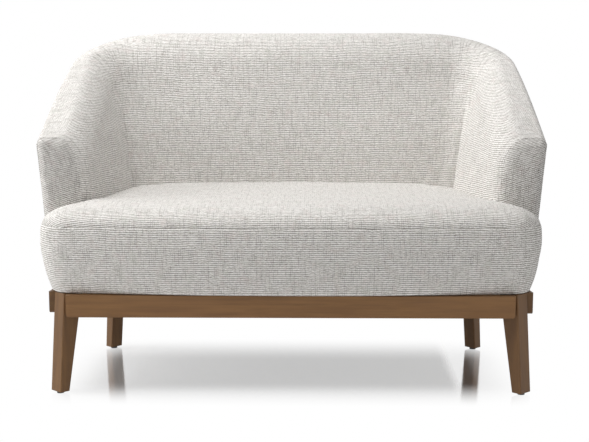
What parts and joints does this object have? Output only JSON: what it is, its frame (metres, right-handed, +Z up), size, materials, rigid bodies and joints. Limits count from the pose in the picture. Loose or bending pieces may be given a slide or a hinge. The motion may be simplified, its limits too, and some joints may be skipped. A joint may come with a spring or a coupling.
{
  "type": "high back settee",
  "caption": "Two-seat high back settee: wrap-around upholstered back and arms, tight bow-fronted seat, walnut-stained base rails and splayed tapered legs.",
  "frame": {"origin": "on the floor under the middle of the settee's bounding box", "axes": "+Z up, +X along the width, the front faces -Y"},
  "size_m": [1.3112, 0.7685, 0.909],
  "materials": {
    "weave_fabric": "chunky slub weave, cream grey with taupe threads",
    "walnut_wood": "walnut stain, satin",
    "frame_beech": "bare planed beech",
    "glide_plastic": "matt",
    "clip_plastic": "matt",
    "zinc_steel": "zinc plated",
    "felt": "needled felt",
    "foam": "open cell foam",
    "webbing": "woven elastic",
    "fibre_board": "pressed board",
    "dust_cloth": "non-woven"
  },
  "bodies": {
    "root": {"base_front_rail": "walnut_wood", "base_left_rail": "walnut_wood", "base_right_rail": "walnut_wood", "base_rear_rail": "walnut_wood", "front_left_leg": "walnut_wood", "front_right_leg": "walnut_wood", "rear_left_leg": "walnut_wood", "rear_right_leg": "walnut_wood", "front_corner_blocks": "frame_beech", "rear_corner_blocks": "frame_beech", "leg_bolts": "zinc_steel", "leg_bolt_washers": "zinc_steel", "glides": "glide_plastic", "base_screws": "zinc_steel", "seat_front_board": "frame_beech", "seat_rear_board": "frame_beech", "seat_left_board": "frame_beech", "seat_right_board": "frame_beech", "seat_centre_brace": "frame_beech", "seat_gussets": "frame_beech", "seat_springs": "zinc_steel", "spring_clips": "clip_plastic", "spring_tie_wires": "zinc_steel", "spring_pad": "felt", "seat_foam": "foam", "seat_front_pad": "foam", "seat_top_cover": "weave_fabric", "seat_border_cover": "weave_fabric", "dust_cover": "dust_cloth", "dust_cover_staples": "zinc_steel", "shell_bottom_rail": "frame_beech", "back_top_rail": "frame_beech", "left_arm_top_rail": "frame_beech", "right_arm_top_rail": "frame_beech", "left_arm_board": "frame_beech", "right_arm_board": "frame_beech", "corner_posts": "frame_beech", "back_posts": "frame_beech", "back_webbing": "webbing", "left_arm_webbing": "webbing", "right_arm_webbing": "webbing", "outer_panel": "fibre_board", "back_foam": "foam", "left_arm_foam": "foam", "right_arm_foam": "foam", "inside_cover": "weave_fabric", "outside_cover": "weave_fabric", "left_arm_facing": "weave_fabric", "right_arm_facing": "weave_fabric", "shell_bolts": "zinc_steel", "shell_bolt_washers": "zinc_steel"}
  },
  "joints": []
}
